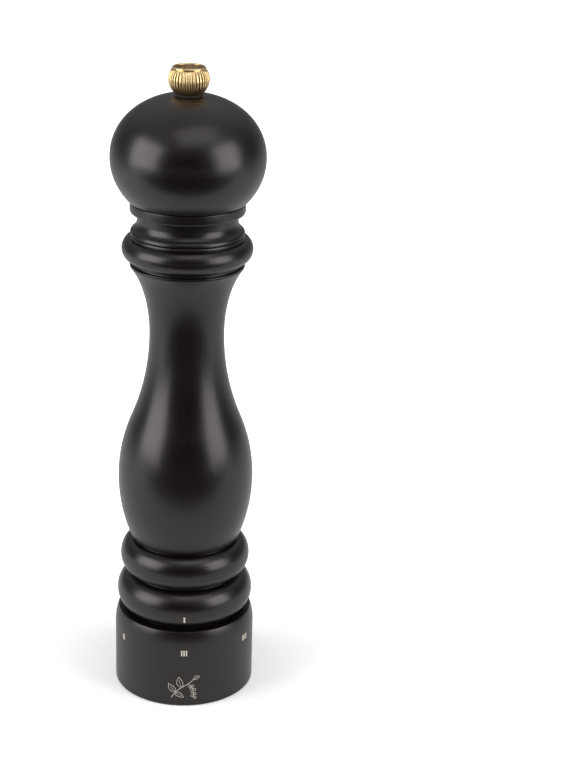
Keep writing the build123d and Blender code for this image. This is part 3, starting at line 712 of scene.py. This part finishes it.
def makeFloor():
    bm = bmesh.new()
    bmesh.ops.create_grid(bm, x_segments=4, y_segments=4, size=studio["floorSize"])
    material, tree, shader = newMaterial("pale floor")
    cloud = stretchedNoise(tree, (1, 1, 1), 3, 3, 0.5)
    link(tree, mixColours(tree, cloud, studio["floorShade"], studio["floorLight"]),
         shader.inputs["Base Color"])
    shader.inputs["Roughness"].default_value = 0.9
    shader.inputs["Emission Color"].default_value = (1, 1, 1, 1)
    place = addNode(tree, "TexCoord")
    away = addNode(tree, "VectorMath", operation="LENGTH")
    link(tree, place.outputs["Object"], away.inputs[0])
    glow = remap(tree, away.outputs["Value"], studio["glowFrom"], studio["glowTo"],
                 studio["glowNear"], studio["glowFar"])
    mirrored = remap(tree, away.outputs["Value"], studio["glowFrom"], studio["glowTo"],
                     studio["mirroredNear"], studio["mirroredFar"])
    rays = addNode(tree, "LightPath")
    pick = addNode(tree, "Mix", data_type="FLOAT")
    link(tree, rays.outputs["Is Camera Ray"], pick.inputs[0])
    link(tree, mirrored, pick.inputs[2])
    link(tree, glow, pick.inputs[3])
    link(tree, pick.outputs[0], shader.inputs["Emission Strength"])
    finishMesh(bm, "floor", material)


def softBox(name, place, aimZ, width, height, watts):
    lamp = bpy.data.lights.new(name, "AREA")
    lamp.shape = "RECTANGLE"
    lamp.size, lamp.size_y = width, height
    lamp.energy = watts
    holder = bpy.data.objects.new(name, lamp)
    aim = Vector((0, 0, aimZ)) - Vector(place)
    turn = aim.to_track_quat("-Z", "Y").to_matrix().to_4x4()
    holder.matrix_world = Matrix.Translation(place) @ turn
    bpy.context.scene.collection.objects.link(holder)


def makeWorld():
    world = bpy.data.worlds.new("studio")
    bpy.context.scene.world = world
    world.use_nodes = True
    tree = world.node_tree
    sky = tree.nodes["Background"]
    sky.inputs["Color"].default_value = (1, 1, 1, 1)
    seen = addNode(tree, "Background", Strength=1.0)
    seen.inputs["Color"].default_value = (1, 1, 1, 1)
    rays = addNode(tree, "LightPath")
    mix = addNode(tree, "MixShader")
    place = addNode(tree, "TexCoord")
    split = addNode(tree, "SeparateXYZ")
    link(tree, place.outputs["Generated"], split.inputs[0])
    behind = remap(tree, split.outputs["Y"], -0.1, 0.7, studio["frontGlow"], studio["backGlow"])
    above = remap(tree, split.outputs["Z"], 0.35, 0.85, 0, studio["upGlow"])
    link(tree, addTogether(tree, behind, above), sky.inputs["Strength"])
    link(tree, rays.outputs["Is Camera Ray"], mix.inputs["Fac"])
    link(tree, sky.outputs[0], mix.inputs[1])
    link(tree, seen.outputs[0], mix.inputs[2])
    link(tree, mix.outputs[0], tree.nodes["World Output"].inputs["Surface"])


def makeFlag():
    # black cloth on the floor in front, seen only in the lacquer
    bm = bmesh.new()
    bmesh.ops.create_grid(bm, x_segments=1, y_segments=1, size=1)
    bmesh.ops.scale(bm, vec=(0.9, 0.6, 1), verts=bm.verts)
    bmesh.ops.translate(bm, vec=(0, -0.82, 0.001), verts=bm.verts)
    material, tree, shader = newMaterial("black cloth")
    shader.inputs["Base Color"].default_value = (0.01, 0.01, 0.01, 1)
    shader.inputs["Roughness"].default_value = 1
    flag = finishMesh(bm, "frontFlag", material)
    flag.visible_camera = False
    flag.visible_diffuse = False
    flag.visible_shadow = False
    flag.visible_transmission = False


makeFloor()
makeWorld()
makeFlag()
for lampRow in studio["lamps"]:
    softBox(*lampRow)
print("studio ready")


view = dict(distance=0.8189, height=0.4637, pitchDeg=20.88, panDeg=3.19, rollDeg=0.49, lens=88.06)


def makeCamera():
    lens = bpy.data.cameras.new("studioCamera")
    lens.lens = view["lens"]
    holder = bpy.data.objects.new("studioCamera", lens)
    bpy.context.scene.collection.objects.link(holder)
    tilt = Matrix.Rotation(math.radians(90 - view["pitchDeg"]), 4, "X")
    pan = Matrix.Rotation(math.radians(-view["panDeg"]), 4, "Y")
    roll = Matrix.Rotation(math.radians(view["rollDeg"]), 4, "Z")
    stand = Matrix.Translation((0, -view["distance"], view["height"]))
    holder.matrix_world = stand @ tilt @ pan @ roll
    bpy.context.scene.camera = holder


makeCamera()
bpy.context.scene.view_settings.view_transform = "Standard"
